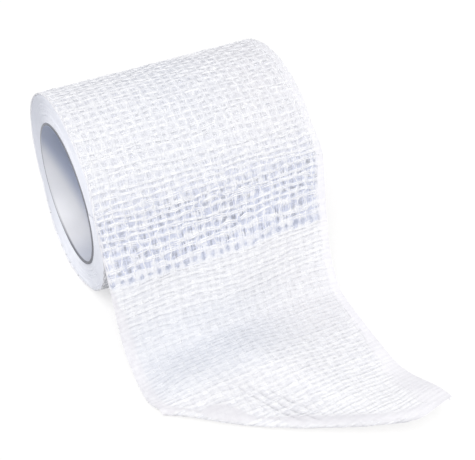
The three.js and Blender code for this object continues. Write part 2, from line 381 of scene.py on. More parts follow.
def shade_at(across, along):
    """How far a place of the flat cloth lies in shade: in the bend, the crease below it or on the fold."""
    in_bend = within(along, BEND_SHADE_COMES, BEND_SHADE_GOES)
    less = 1 - 0.4 * fade(across, *CREASE_FADES_TO_RIGHT)
    in_crease = within(along, CREASE_SHADE_COMES, CREASE_SHADE_GOES)
    in_crease = in_crease * fade(across, *CREASE_FADES_TO_LEFT) * less
    past = past_fold(across, along)[0]
    on_fold = within(past, FOLD_SHADE_COMES, FOLD_SHADE_GOES) * fade(across, *FOLD_SHADE_TO_RIGHT)
    return BEND_SHADE * in_bend + CREASE_SHADE * in_crease + FOLD_SHADE * on_fold


# ---- meshes from arrays ----


def placed(name, data):
    """A new object in the scene."""
    thing = bpy.data.objects.new(name, data)
    bpy.context.scene.collection.objects.link(thing)
    return thing


def mesh_from(name, points, quads, maps):
    """A smooth-shaded piece from points in millimetres, faces of four corners and UV maps by name."""
    mesh = bpy.data.meshes.new(name)
    mesh.vertices.add(len(points))
    mesh.vertices.foreach_set("co", (points * MM).astype(np.float32).ravel())
    mesh.loops.add(quads.size)
    mesh.loops.foreach_set("vertex_index", quads.astype(np.int32).ravel())
    mesh.polygons.add(len(quads))
    mesh.polygons.foreach_set("loop_start", np.arange(0, quads.size, 4, dtype=np.int32))
    mesh.polygons.foreach_set("use_smooth", np.ones(len(quads), bool))
    mesh.update(calc_edges=True)
    for map_name, places in maps.items():
        layer = mesh.uv_layers.new(name=map_name)
        layer.uv.foreach_set("vector", places.astype(np.float32).ravel())
    return placed(name, mesh)


def at_corners(u, v, quads):
    """A UV map's places from two values at each point."""
    return np.stack([u, v], axis=-1).reshape(-1, 2)[quads]


TUBE_SIDES = 6
YARN_SHADE_SHARE = 0.7
STRIP_FILLED = 0.9  # how much of its strip of the bake map a yarn fills


def corner_map(here, there, left, right):
    """A UV map's places for faces that run from here to there and from left to right."""
    corners = ((here, left), (there, left), (there, right), (here, right))
    return np.stack([np.stack(corner, -1) for corner in corners], axis=-2).reshape(-1, 4, 2)


def yarn_piece(name, across, along, raised, half_width, half_thickness):
    """Yarns as closed tubes, one for each row of the arrays that say where it runs in the flat cloth.

    The map "yarn" runs along and round each tube, and "shade" holds how far it lies in shade.
    """
    middle, outward = woven(across, along)
    middle += raised[..., None] * outward
    ahead = unit(np.gradient(middle, axis=1))
    beside = unit(np.cross(outward, ahead))
    outward = np.cross(ahead, beside)
    turns = np.arange(TUBE_SIDES) * TURN / TUBE_SIDES
    ring = (
        middle[:, :, None]
        + half_width[..., None, None] * np.cos(turns)[:, None] * beside[:, :, None]
        + half_thickness[..., None, None] * np.sin(turns)[:, None] * outward[:, :, None]
    )
    ring[..., 2] = np.maximum(ring[..., 2], 0)
    yarns, steps = across.shape

    first = (np.arange(yarns)[:, None, None] * steps + np.arange(steps - 1)[:, None]) * TUBE_SIDES
    side = np.arange(TUBE_SIDES)
    next_side = (side + 1) % TUBE_SIDES
    ahead_of_first = first + TUBE_SIDES
    walls = np.stack(
        [first + side, ahead_of_first + side, ahead_of_first + next_side, first + next_side], axis=-1
    )
    start = np.arange(yarns)[:, None] * steps * TUBE_SIDES
    end = start + (steps - 1) * TUBE_SIDES
    caps = np.concatenate(
        [start + [0, 1, 2, 3], start + [0, 3, 4, 5], end + [3, 2, 1, 0], end + [5, 4, 3, 0]]
    )
    quads = np.concatenate([walls.reshape(-1, 4), caps])

    lengths = np.linalg.norm(np.diff(middle, axis=1), axis=2)
    run = np.concatenate([np.zeros((yarns, 1)), np.cumsum(lengths, axis=1)], axis=1)
    here, there = (np.broadcast_to(r[..., None], walls.shape[:3]) for r in (run[:, :-1], run[:, 1:]))
    around = np.broadcast_to(side / TUBE_SIDES, walls.shape[:3])
    beyond = around + 1 / TUBE_SIDES
    whole = run[:, -1][:, None, None]
    strip = np.arange(yarns)[:, None, None]
    bake_sides = [(strip + place * STRIP_FILLED) / yarns for place in (around, beyond)]
    caps_map = np.zeros((len(caps), 4, 2))
    shade = np.repeat(YARN_SHADE_SHARE * shade_at(*crept(across, along)), TUBE_SIDES)
    maps = {
        "yarn": np.concatenate([corner_map(here, there, around, beyond), caps_map]),
        "shade": at_corners(shade, shade, quads),
        "OFBake": np.concatenate([corner_map(here / whole, there / whole, *bake_sides), caps_map]),
    }
    return mesh_from(name, ring.reshape(-1, 3), quads, maps)


def grid_quads(rows, columns):
    """Corners of a grid's faces, counted row by row."""
    first = np.arange(rows - 1)[:, None] * columns + np.arange(columns - 1)
    return np.stack([first, first + columns, first + columns + 1, first + 1], axis=-1).reshape(-1, 4)


# ---- the gauze ----

THICKNESS_DRIFT = Drift(31, 1.9, 1.7)
ROW_OPENNESS = Drift(34, 3.1, ROW_PITCH)
SPREAD_DRIFT = Drift(32, COLUMN_PITCH, 3.1, FIRST_COLUMN)
OPENED_PAIRS = Drift(33, 9, 2.4)
WARPS_LOOSEN = (8, 12)  # places along the flat cloth
WEFTS_LOOSEN = (9, 12)
ROWS_OPEN_BY = 0.85  # how much more some rows are open than others, as a share
ROWS_OPEN_LESS_BY = 0.6  # on the loose end
TURN_STEPS = 3  # round a selvedge
LEAST_HEIGHT = 0.02  # of the fluff over the surface


def weft_piece(name, first_row, last_row, step):
    """Both wefts of each row. They run to and fro across the cloth and turn back round its selvedges."""
    rows = np.arange(first_row, last_row + 1)
    reach = np.arange(-SELVEDGE_BULGE, BANDAGE_WIDTH + SELVEDGE_BULGE, step)
    yarns = []
    for lane in (1, -1):
        across, along = [], []
        for row in rows:
            outbound = row % 2 == 0
            side = lane if outbound else -lane
            outward_reach = reach if outbound else BANDAGE_WIDTH - reach
            middle = np.full(len(reach), row * ROW_PITCH)
            loosened = fade(relaxed(middle[0]), *WEFTS_LOOSEN)
            spread = WEFT_SPREAD + (LOOSE_WEFT_SPREAD - WEFT_SPREAD) * loosened
            opens_by = ROWS_OPEN_BY - ROWS_OPEN_LESS_BY * loosened
            opened = 1 + opens_by * ROW_OPENNESS(outward_reach, middle)
            across.append(outward_reach)
            along.append(middle + side * spread * opened)
            place = along[-1][-1]
            next_place = (row + 1) * ROW_PITCH - side * spread
            turned = np.arange(1, TURN_STEPS + 1) / (TURN_STEPS + 1)
            edge = across[-1][-1]
            away = np.sign(edge - BANDAGE_WIDTH / 2)
            across.append(edge + away * SELVEDGE_BULGE * np.sin(math.pi * turned))
            along.append(place + (next_place - place) * (1 - np.cos(math.pi * turned)) / 2)
        yarns.append((np.concatenate(across), np.concatenate(along)))
    across, along = (np.stack(parts) for parts in zip(*yarns))
    crossings = (across - FIRST_COLUMN) / COLUMN_PITCH + np.round(along / ROW_PITCH)
    raised = WEFT_WAVE * np.sin(math.pi * crossings + math.pi / 2)
    plump = 1 + WEFT_SLUBS * THICKNESS_DRIFT(across, along)
    return yarn_piece(name, across, along, raised, WEFT_HALF_WIDTH * plump, WEFT_HALF_THICKNESS * plump)


def warp_piece(name, start, end, step):
    """The warps: pairs that twist between the rows, and closer single ones at the selvedges."""
    count = int(round((end - start) / step)) + 1
    along = np.linspace(start, end, count)
    row_count = along / ROW_PITCH
    across, raised = [], []
    for column in range(COLUMNS):
        place = FIRST_COLUMN + column * COLUMN_PITCH
        places = np.full(count, place)
        opened = fade(OPENED_PAIRS(places, along), 0.1, 0.6)
        spread = WARP_SPREAD * (0.9 + 0.6 * SPREAD_DRIFT(places, along) + 0.35 * opened)
        straddle = 0.6 + 0.4 * np.cos(TURN * row_count)
        for side in (1, -1):
            across.append(place + side * spread * straddle)
            raised.append(side * WARP_WAVE * np.cos(math.pi * (row_count + column)))
    selvedges = LEFT_SELVEDGE_WARPS + tuple(BANDAGE_WIDTH - place for place in RIGHT_SELVEDGE_WARPS)
    for index, place in enumerate(selvedges):
        across.append(np.full(count, place))
        raised.append(WARP_WAVE * np.cos(math.pi * (row_count + index)))
    across, raised = np.stack(across), np.stack(raised)
    along = np.broadcast_to(along, across.shape)
    radius = WARP_RADIUS * (1 + WARP_SLUBS * THICKNESS_DRIFT(across + WARP_SLUBS_FROM, along))
    radius *= 1 - 0.3 * fade(relaxed(along), *WARPS_LOOSEN)
    return yarn_piece(name, across, along, raised, radius, radius)


def closed_strips(across, along, past):
    """Where the flat cloth is closed: at its selvedges, at the fold, and at all of these and the cut end."""
    left_width = 0.3 + 1.6 * fade(along, 10, 20)
    right_width = 1.6 + 2.4 * fade(along, 32, 56)
    at_left = fade(across, left_width * 1.6, left_width * 0.4)
    at_right = fade(BANDAGE_WIDTH - across, right_width * 1.5, right_width * 0.5)
    selvedges = np.maximum(at_left, at_right)
    fold_width = 0.15 + 1.4 * fade(across, 5, 8) * fade(across, 13, 10)
    fold_width += 0.65 * fade(across, 15, 19)
    at_fold = fade(np.abs(past + 0.3), fold_width * 1.6, fold_width * 0.5) * fade(past, 0.9, 0.2)
    at_cut = fade(LOOSE_LENGTH - along, 1.5, 0.5)
    return selvedges, at_fold, np.maximum.reduce([selvedges, at_fold, at_cut])


def fluff_shade(across, along, past, selvedges, at_fold):
    """How far the fluff lies in shade, from 0 to 1."""
    off_roll = within(along, (10.5, 11.5), (45, 37))
    upper_right = fade(across, 24, 34) * fade(along, 22, 16)
    shaded = 0.2 * off_roll * (1 - 0.5 * upper_right) + shade_at(across, along)
    shaded *= 1 - 0.7 * selvedges
    on_roll = fade(along, 2, -6)
    high_on_roll = fade(along, -2, -17) * fade(across, 4, 30)
    on_left_fold = at_fold * fade(across, 34, 22)
    near_right_fold = fade(past, -1.6, 0) * fade(across, 14, 32)
    on_right_fold = fade(past, 0, 0.5) * fade(across, 14, 32)
    shaded += 0.27 * on_roll + 0.4 * high_on_roll
    shaded += 0.28 * on_left_fold + 0.34 * near_right_fold + 0.36 * on_right_fold
    return shaded * (1 - 0.7 * fade(past, 0.5, 1.2) * fade(across, 18, 10))


def fluff_piece(name, start, end, step):
    """The fine fluff in the middle of the cloth, as a sheet.

    Its map "closed" holds how closed the weave is and how far a place lies in shade.
    Its map "tucked" holds how far the layer below is from its cut end, and how well that layer shows.
    """
    rows = int(round((end - start) / step)) + 1
    columns = int(round(BANDAGE_WIDTH / (COLUMN_PITCH / 3))) + 1
    row_places, column_places = np.linspace(start, end, rows), np.linspace(0, BANDAGE_WIDTH, columns)
    along, across = np.meshgrid(row_places, column_places, indexing="ij")
    middle, outward = woven(across, along)
    quads = grid_quads(rows, columns)

    flat_along = relaxed(along)
    past = past_fold(across, flat_along)[0]
    selvedges, at_fold, closed = closed_strips(across, flat_along, past)
    shaded = fluff_shade(across, flat_along, past, selvedges, at_fold)

    from_cut = LOOSE_LENGTH - tucked_below(across, flat_along)
    shows = within(from_cut, (2.6, 3.6), (10.5, 7.5))
    shows = shows * fade(past, -7.5, -4.5) * (past < 0) * fade(across, 25, 19)

    raised = 0.05 + 0.05 * fade(flat_along, *WEFTS_LOOSEN)
    raised += 0.14 * closed * fade(flat_along, -6, 4)
    middle += raised[..., None] * outward
    middle[..., 2] = np.maximum(middle[..., 2], LEAST_HEIGHT)

    cloth = at_corners(across, along, quads)
    maps = {
        "cloth": cloth,
        "closed": at_corners(closed, shaded, quads),
        "tucked": at_corners(from_cut, shows, quads),
        "OFBake": (cloth - [0, start]) / [BANDAGE_WIDTH, end - start],
    }
    return mesh_from(name, middle.reshape(-1, 3), quads, maps)


# ---- the wound turns under the outermost one ----

UNDER_OUTER_TURN = 0.8  # how far below the outermost turn's middle they begin, in layers
SELVEDGE_FILL = 0.3  # the selvedges lie closer and fill the gap under the outermost turn
TUBE_RADIUS = CORE_RADIUS - 0.35
BORE_RADIUS = TUBE_RADIUS + 0.02
BODY_ROUND_STEPS = 216
BODY_SIDE_STEPS = 61
STEPS_PER_TURN = 5
EDGES_INSET = 0.16
GROOVE_DEPTH = 0.09  # between the edges of two turns
STRAY_SHARE = 0.06  # how far single turns stray in and out
SWAY_SHARE = 0.15
ENDS_IN_MAP = 0.3  # each end's share of the bake map
EDGE_STRAY = Drift(41, 1, 1.3)
EDGE_SWAY = Drift(42, 5, 1.1)


def wound_body():
    """The roll's inner turns: their face under the outermost turn, and their edges at both ends."""
    share = np.linspace(0, 1, BODY_ROUND_STEPS + 1)
    angle = LEAVES_AT + share * TURN
    under = LEAVE_RADIUS - LAYER * (UNDER_OUTER_TURN + share)
    rim = under + SELVEDGE_FILL
    turns = (rim[0] - BORE_RADIUS) / WOUND_LAYER
    places = np.linspace(0, 1, int(turns * STEPS_PER_TURN) + 1)
    depth = places[:, None] * turns + share * 2
    radius = rim + (BORE_RADIUS - rim) * places[:, None]
    groove = np.abs(2 * (depth % 1) - 1) ** 3
    half = BANDAGE_WIDTH / 2
    ends = []
    for end in (-1, 1):
        stray = STRAY_SHARE * EDGE_STRAY(np.floor(depth) * 7 + end, np.floor(depth) * 3 + share * 6)
        sway = SWAY_SHARE * EDGE_SWAY(depth * 0.9 + 3 * end, share * 7)
        out = half - EDGES_INSET - GROOVE_DEPTH * groove + (stray + sway) * fade(depth, 0, 3)
        ends.append(end * out - (end < 0) * telescoped(angle) * (1 - places[:, None] ** 2))
    left, right = ends
    lateral = np.linspace(-1, 1, BODY_SIDE_STEPS)[1:-1]
    side_x = left[0] + (right[0] - left[0]) * (lateral[:, None] + 1) / 2
    side_radius = under + SELVEDGE_FILL * fade(np.abs(side_x), half - 2.4, half - 0.8)
    x = np.concatenate([left[::-1], side_x, right])
    radius = np.concatenate([radius[::-1], side_radius, radius])
    y = -radius * np.cos(angle)
    z = np.maximum(AXIS_HEIGHT + radius * np.sin(angle), LAYER)
    points = np.stack([x, y, z], axis=-1).reshape(-1, 3)
    rows, columns = x.shape
    quads = grid_quads(rows, columns)

    round_share = np.broadcast_to(share, x.shape)
    side_run = ENDS_IN_MAP + (1 - 2 * ENDS_IN_MAP) * (lateral + 1) / 2
    end_run = np.linspace(0, ENDS_IN_MAP, len(places))
    run = np.concatenate([end_run, side_run, 1 - ENDS_IN_MAP + end_run])
    maps = {
        "cloth": at_corners(x, round_share * OUTER_TURN_LENGTH, quads),
        "OFBake": at_corners(round_share, np.broadcast_to(run[:, None], x.shape), quads),
    }
    piece = mesh_from("wound_turns", points, quads, maps)
    on_end = np.ones(rows - 1, np.int32)
    on_end[len(places) - 1 : 1 - len(places)] = 0
    piece.data.polygons.foreach_set("material_index", np.repeat(on_end, columns - 1))
    return piece


# ---- the core ----

TUBE_WALL = 0.44
RIMS_SOFTENED = 0.1
CORE_STEPS = 128
CORE_CUTS = 7  # each of its long faces is cut so often


def wound_core():
    """The thin tube, with its two cut rims softened."""
    bpy.ops.mesh.primitive_cylinder_add(
        vertices=CORE_STEPS,
        radius=TUBE_RADIUS * MM,
        depth=BANDAGE_WIDTH * MM,
        end_fill_type="NOTHING",
        location=(0, 0, AXIS_HEIGHT * MM),
        rotation=(0, math.pi / 2, 0),
    )
    core = bpy.context.active_object
    core.name = core.data.name = "core_tube"
    bpy.ops.object.transform_apply(location=True, rotation=True, scale=True)
    bpy.ops.object.mode_set(mode="EDIT")
    bpy.ops.mesh.select_all(action="SELECT")
    bpy.ops.mesh.subdivide(number_cuts=CORE_CUTS)
    bpy.ops.object.mode_set(mode="OBJECT")
    wall = core.modifiers.new("wall", "SOLIDIFY")
    wall.thickness = TUBE_WALL * MM
    wall.offset = -1
    rims = core.modifiers.new("softened rims", "BEVEL")
    rims.width = RIMS_SOFTENED * MM
    rims.segments = 3
    rims.limit_method = "ANGLE"
    for modifier in (wall, rims):
        bpy.ops.object.modifier_apply(modifier=modifier.name)
    bpy.ops.object.shade_smooth_by_angle(angle=math.radians(50))
    return core


# ---- materials ----


class Value:
    """A shader socket. Python's operators on it add the Math nodes."""

    def __init__(self, nodes, socket):
        self.nodes = nodes
        self.socket = socket

    def math(self, operation, *others):
        return self.nodes.add("Math", {"operation": operation}, dict(enumerate((self, *others))))

    def __abs__(self):
        return self.math("ABSOLUTE")

    def __add__(self, other):
        return self.math("ADD", other)

    def __sub__(self, other):
        return self.math("SUBTRACT", other)

    def __rsub__(self, other):
        return self.nodes.add("Math", {"operation": "SUBTRACT"}, {0: other, 1: self})

    def __mul__(self, other):
        return self.math("MULTIPLY", other)

    def __truediv__(self, other):
        return self.math("DIVIDE", other)

    __radd__ = __add__
    __rmul__ = __mul__


class Nodes:
    """The shader nodes of a material or of the sky, under construction."""

    def __init__(self, owner):
        owner.use_nodes = True
        self.tree = owner.node_tree

    def add(self, kind, settings=None, inputs=None, output=0):
        """A node: its settings first, then the values or links of its sockets. Returns one of its outputs."""
        node = self.tree.nodes.new("ShaderNode" + kind)
        for name, value in (settings or {}).items():
            setattr(node, name, value)
        for name, value in (inputs or {}).items():
            self.feed(node.inputs[name], value)
        return Value(self, node.outputs[output])

    def feed(self, socket, value):
        if isinstance(value, Value):
            self.tree.links.new(value.socket, socket)
        else:
            socket.default_value = value


class Finish(Nodes):
    """A material under construction."""

    def __init__(self, name):
        self.material = bpy.data.materials.new(name)
        super().__init__(self.material)
        self.shader = self.tree.nodes["Principled BSDF"]

    def set(self, **inputs):
        """Values or links for the surface's own sockets, with their spaces written as underscores."""
        for name, value in inputs.items():
            self.feed(self.shader.inputs[name.replace("_", " ")], value)

    def map(self, name):
        return self.add("UVMap", {"uv_map": name})

    def split(self, vector):
        node = self.add("SeparateXYZ", None, {0: vector}).socket.node
        return [Value(self, output) for output in node.outputs]

    def join(self, x, y, z=0.0):
        return self.add("CombineXYZ", None, {0: x, 1: y, 2: z})

    def object_place(self):
        return self.add("TexCoord", None, None, "Object")

    def noise(self, vector, scale, detail=2.0, roughness=0.5):
        inputs = {"Vector": vector, "Scale": scale, "Detail": detail, "Roughness": roughness}
        return self.add("TexNoise", None, inputs)

    def fade(self, value, low, high):
        """0 at low and 1 at high, smoothly."""
        inputs = {"Value": value, "From Min": low, "From Max": high}
        return self.add("MapRange", {"interpolation_type": "SMOOTHSTEP"}, inputs)

    def mix(self, factor, first, second):
        """One colour turning into another."""
        return self.add("Mix", {"data_type": "RGBA"}, {0: factor, 6: first, 7: second}, 2)

    def bump(self, height, distance, strength=1.0):
        inputs = {"Height": height, "Distance": distance, "Strength": strength}
        return self.add("Bump", None, inputs)


def colour(red, green, blue):
    return (red, green, blue, 1.0)


YARN_LIGHT = colour(0.93, 0.932, 0.943)
YARN_SHADE = colour(0.83, 0.835, 0.863)
FLUFF_LIGHT = colour(0.942, 0.941, 0.946)
TIP_PAINTED_LIGHT = colour(0.985, 0.98, 0.99)
FLUFF_SHADE = colour(0.775, 0.778, 0.815)
# painted shade for the cloth low on the roll's front, in the roll's shade, and for the openings of its last
# row
FLUFF_PAINTED_SHADE = colour(0.64, 0.67, 0.79)
SELVEDGE_TONE_AND_SHADE = colour(0.785, 0.768, 0.797)
RIGHT_SELVEDGE_TONE_AND_LIGHT = colour(0.91, 0.897, 0.92)
HANGING_SELVEDGE_TONE_AND_SHADE = colour(0.855, 0.843, 0.875)
HOLE_PAINTED_SHADE = colour(0.42, 0.45, 0.55)
# painted shade: the colours that the cloth and its yarns are darkened towards where their shade maps say
PAINTED_SHADE_COLOUR = colour(0.65, 0.675, 0.735)
RIGHT_PAINTED_SHADE_COLOUR = colour(0.73, 0.725, 0.755)
# painted shade: each turn deeper under the outermost one is darker and bluer
SECOND_TURN = colour(0.92, 0.925, 0.95)
THIRD_TURN = colour(0.84, 0.85, 0.91)
DEEP_TURNS_LIGHT = colour(0.77, 0.785, 0.885)
DEEP_TURNS_DARK = colour(0.66, 0.685, 0.81)
EDGES_LIGHT = colour(0.87, 0.885, 0.933)
EDGES_DARK = colour(0.82, 0.835, 0.893)
EDGES_SHADE_AT_BACK = colour(0.7, 0.715, 0.77)
WALL_LIGHT = colour(0.76, 0.765, 0.79)
WALL_DARK = colour(0.72, 0.725, 0.755)
WALL_DEEP_SHADE = colour(0.46, 0.5, 0.61)
RIM_DARK = colour(0.14, 0.145, 0.165)
RIM_LIGHT = colour(0.22, 0.225, 0.25)
RIM_PAINTED_LIGHT = colour(0.5, 0.51, 0.55)
HOLE_HALF_WIDTH = 0.42
HOLE_HALF_LENGTH = 0.4
PLY_LENGTH = 0.62


def yarn_finish():
    """Soft white yarn: its ply twist and its fibres as bump, with slubs a little greyer, and painted shade
    from its shade map.
    """
    finish = Finish("crepe_yarn")
    run, around, _ = finish.split(finish.map("yarn"))
    ply = (run * (TURN / PLY_LENGTH) + around * (2 * TURN)).math("SINE")
    place = finish.object_place()
    fibres = finish.noise(finish.join(run * 1.5, around * 9), 1.0, 3.0, 0.6)
    slubs = finish.noise(place, 900.0)
    shade, _, _ = finish.split(finish.map("shade"))
    white = finish.mix(finish.fade(slubs + ply * 0.03, 0.35, 0.7), YARN_SHADE, YARN_LIGHT)
    finish.set(
        Base_Color=finish.mix(shade, white, PAINTED_SHADE_COLOUR),
        Roughness=finish.fade(fibres, 0.2, 0.8) * 0.15 + 0.8,
        Normal=finish.bump(ply * 0.6 + fibres, 0.04 * MM, 0.5),
        Specular_IOR_Level=0.2,
        Sheen_Weight=0.15,
        Sheen_Roughness=0.5,
    )
    return finish.material


def lattice(finish, place):
    """How far a point of the weave is from the nearest warp pair and row, and its opening's own chance."""
    across, along, _ = finish.split(place)
    column = (across - FIRST_COLUMN) / COLUMN_PITCH
    row = along / ROW_PITCH
    from_column = abs((column + 0.5).math("FRACT") - 0.5) * COLUMN_PITCH
    from_row = abs((row + 0.5).math("FRACT") - 0.5) * ROW_PITCH
    cell = finish.join(column.math("FLOOR"), row.math("FLOOR"))
    chance = finish.add("TexWhiteNoise", {"noise_dimensions": "2D"}, {"Vector": cell})
    return from_column, from_row, chance


def fluff_finish():
    """Fine fibres in the cloth's middle: closed along the yarns and the selvedges, hazy between them."""
    finish = Finish("gauze_fluff")
    place = finish.map("cloth")
    across, along, _ = finish.split(place)
    closed, shaded, _ = finish.split(finish.map("closed"))
    from_cut, shows, _ = finish.split(finish.map("tucked"))

    # parts of the cloth
    on_top = finish.fade(along, 3.0, -9.0)
    in_roll_shade = finish.fade(along, -9.0, 3.0) * finish.fade(along, LOOSENS_AT + 0.1, LOOSENS_AT - 0.2)
    past_roll = finish.fade(along, LOOSENS_AT - 0.2, LOOSENS_AT + 0.2)
    last_row = finish.fade(along, LOOSENS_AT - 1.35, LOOSENS_AT - 1.0) * (1 - past_roll)
    hanging = finish.fade(along, 9.0, 13.0) * finish.fade(along, 31.0, 24.0)
    at_right = finish.fade(across, 22.0, 34.0)
    far_corner = finish.fade(across, 20.0, 34.0) * finish.fade(along, 25.0, 31.0)
    below_crease = finish.fade(across, 16.0, 34.0).math("MAXIMUM", finish.fade(along, 23.0, 25.0))

    # unevenness
    def uneven(by_across, by_along, roughness=0.5):
        return finish.noise(finish.join(across * by_across, along * by_along), 1.0, 2.0, roughness)

    pulled = finish.noise(place, 0.8)
    tugged = finish.noise(place, 0.9)
    specks = finish.noise(place, 2.4)
    patches = finish.noise(place, 0.22)
    streaks = uneven(0.45, 2.4, 0.6)
    bands = uneven(0.18, 0.5, 0.6)
    clumps = uneven(0.75, 1.15, 0.6)
    strands = uneven(0.9, 6)
    strokes = uneven(3.2, 0.8)

    # the openings between the yarns
    nudged = finish.join(across + (pulled - 0.5) * 0.9, along + (tugged - 0.5) * 0.8)
    from_column, from_row, chance = lattice(finish, nudged)
    frayed = streaks * 0.5 + specks * 0.7 + chance * 0.5 - 0.85
    longer = last_row * (1 - at_right) * 0.3 + 1
    in_column = (COLUMN_PITCH / 2 - from_column) / HOLE_HALF_WIDTH
    in_row = (ROW_PITCH / 2 - from_row) / HOLE_HALF_LENGTH * longer
    from_hole = (in_column * in_column + in_row * in_row).math("SQRT") + frayed
    closed = finish.fade(closed + frayed * 0.5, 0.15, 0.85)
    cover = finish.fade(from_hole, 0.2, 1.5)

    # strands that cross them, and how thick the fluff is
    rungs = (across * (3 * TURN / COLUMN_PITCH) + (tugged - 0.5) * 6).math("COSINE")
    row_place = finish.join(across * 0.12, (along / ROW_PITCH).math("FLOOR") * 0.73)
    with_rungs = finish.fade(finish.noise(row_place, 1.0, 1.0), 0.44, 0.54)
    ladder = finish.fade(rungs, 0.0, 0.8) * with_rungs * (1 - past_roll)
    crossed = finish.fade(strands, 0.5, 0.66) * 0.25 + ladder * (in_roll_shade * 0.1 + 0.2)
    crossed += finish.fade(strokes, 0.5, 0.64) * (in_roll_shade * 0.2 + 0.25)
    clumped = finish.fade(clumps + patches * 0.4, 0.62, 0.82)
    doubled = finish.fade(from_cut, -0.4, 0.4) * past_roll
    hazy = past_roll * 0.28 + 0.47 - on_top * 0.15 + clumped * 0.2 + (bands - 0.5) * (on_top + 0.5)
    hazy += last_row * 0.35 + far_corner * 0.22
    thick = (hazy + cover * (0.9 - hazy) + crossed + doubled * 0.2).math("MINIMUM", 0.96)

    # ridges of the rows and columns, and how lit the fibres look: their own random tone, with painted shade
    # and painted light
    row = along * (TURN / ROW_PITCH)
    wefts = row.math("COSINE") * 0.35 + (row * 2).math("COSINE") * past_roll * 0.4 + (streaks - 0.5) * 1.5
    row_ridge = finish.fade(wefts, -0.5, 0.5)
    column_ridge = finish.fade(from_column, 0.55, 0.25)
    warps = ((across - FIRST_COLUMN) * (TURN / COLUMN_PITCH)).math("COSINE")
    dashes = (row * 2).math("COSINE") * 0.6 + warps * 0.35 + (streaks - 0.5) * 0.9 + (chance - 0.5) * 0.2
    dashes = finish.fade(dashes, -0.25, -0.75) * past_roll
    # rows of the tucked layer below, painted on as stripes of shade and bump
    stripes = finish.fade((from_cut * (TURN / 1.6) + patches * 4).math("SINE"), -0.3, 0.9) * shows
    lit = finish.fade(streaks + specks * 0.4 + (row_ridge - 1) * 0.25 + column_ridge * 0.08, 0.35, 0.85)
    lit += (0.72 - lit) * past_roll * 0.4
    # painted shade low on the roll's front, and the dashes of the weave
    lit = lit - in_roll_shade * 0.24 - dashes * 0.3 + past_roll * 0.06 + ladder * 0.1
    lit += (row_ridge - 0.5) * past_roll * 0.12
    # painted light at the far corner
    lit += far_corner * (finish.fade(along, 29.0, 32.5) * 0.3 + 0.12)
    lit += (0.8 - lit) * last_row * (0.7 - at_right * 0.5) + (clumps - 0.5) * on_top * 0.7

    # colours, some of them painted shade and painted light
    shade_colour = finish.mix(in_roll_shade, FLUFF_SHADE, FLUFF_PAINTED_SHADE)
    open_colour = finish.mix(lit, shade_colour, FLUFF_LIGHT)
    # painted light on the far tip, which tilts away from the lamp
    open_colour = finish.mix(far_corner * finish.fade(along, 29.0, 33.0) * 0.55, open_colour, TIP_PAINTED_LIGHT)
    # painted shade: dark openings in the last row before the cloth hangs free
    painted_hole_shade = finish.mix(finish.fade(specks, 0.3, 0.7), HOLE_PAINTED_SHADE, FLUFF_PAINTED_SHADE)
    open_colour = finish.mix(last_row * (1 - cover) * 1.25, open_colour, painted_hole_shade)
    # the strips' own pale lavender, with painted shade on the left, at the fold and where hanging, and
    # painted light at the right tip
    right_strip_light_and_shade = finish.mix(hanging, RIGHT_SELVEDGE_TONE_AND_LIGHT, HANGING_SELVEDGE_TONE_AND_SHADE)
    strip_tone_light_and_shade = finish.mix(finish.fade(across, 12.0, 34.0), SELVEDGE_TONE_AND_SHADE, right_strip_light_and_shade)
    strip_tone_light_and_shade = finish.mix(finish.fade(clumps, 0.42, 0.62) * 0.4, strip_tone_light_and_shade, FLUFF_LIGHT)
    # painted shade, greyer on the right and below the crease
    painted_shade_tint = finish.mix(below_crease, PAINTED_SHADE_COLOUR, RIGHT_PAINTED_SHADE_COLOUR)
    plain_colour = finish.mix(closed * 0.85, open_colour, strip_tone_light_and_shade)
    shade = (shaded + stripes * 0.45).math("MINIMUM", 1.0)
    finish.set(
        Base_Color=finish.mix(shade, plain_colour, painted_shade_tint),
        Roughness=0.95,
        Alpha=thick.math("MAXIMUM", closed * 0.97),
        Normal=finish.bump((row_ridge + column_ridge * 0.6) * (1 - closed * 0.6) - stripes, 0.08 * MM),
        Specular_IOR_Level=0.1,
    )
    return finish.material


def drawn_yarns(finish, across, along, seed):
    """The yarns of a deeper turn, pulled about by the crepe: 1 on a yarn and 0 between."""
    pulled = finish.noise(finish.join(across * 0.45 + seed, along * 0.45), 1.0)
    tugged = finish.noise(finish.join(across * 0.45, along * 0.6 + seed), 1.0, 3.0)
    column = (across + pulled * 1.4) / COLUMN_PITCH
    row = (along + tugged * 1.9) / ROW_PITCH
    from_pair = abs(column.math("FRACT") - 0.5) * COLUMN_PITCH
    from_row = abs(row.math("FRACT") - 0.5) * ROW_PITCH
    from_warp = abs(from_pair - 0.24)
    from_weft = abs(from_row - 0.17)
    return finish.fade(from_warp.math("MINIMUM", from_weft), 0.18, 0.09)


def under_turns_finish():
    """The next turns of gauze under the outermost one, with its shade painted on: each deeper turn darker and
    bluer.
    """
    finish = Finish("under_turns")
    place = finish.map("cloth")
    across, along, _ = finish.split(place)
    specks = finish.noise(place, 2.2, 3.0, 0.6)
    second = drawn_yarns(finish, across, along, 3.7)
    third = drawn_yarns(finish, across + 0.7, along * 1.04, 9.1)
    deep = finish.mix(specks, DEEP_TURNS_DARK, DEEP_TURNS_LIGHT)
    shown = finish.mix(second, finish.mix(third, deep, THIRD_TURN), SECOND_TURN)
    finish.set(
        Base_Color=shown,
        Emission_Color=shown,  # a painted glow for the light that filters through the outermost turn
        Emission_Strength=0.3,
        Roughness=0.95,
        Normal=finish.bump(second + third * 0.5 + specks * 0.3, 0.15 * MM),
        Specular_IOR_Level=0.1,
    )
    return finish.material


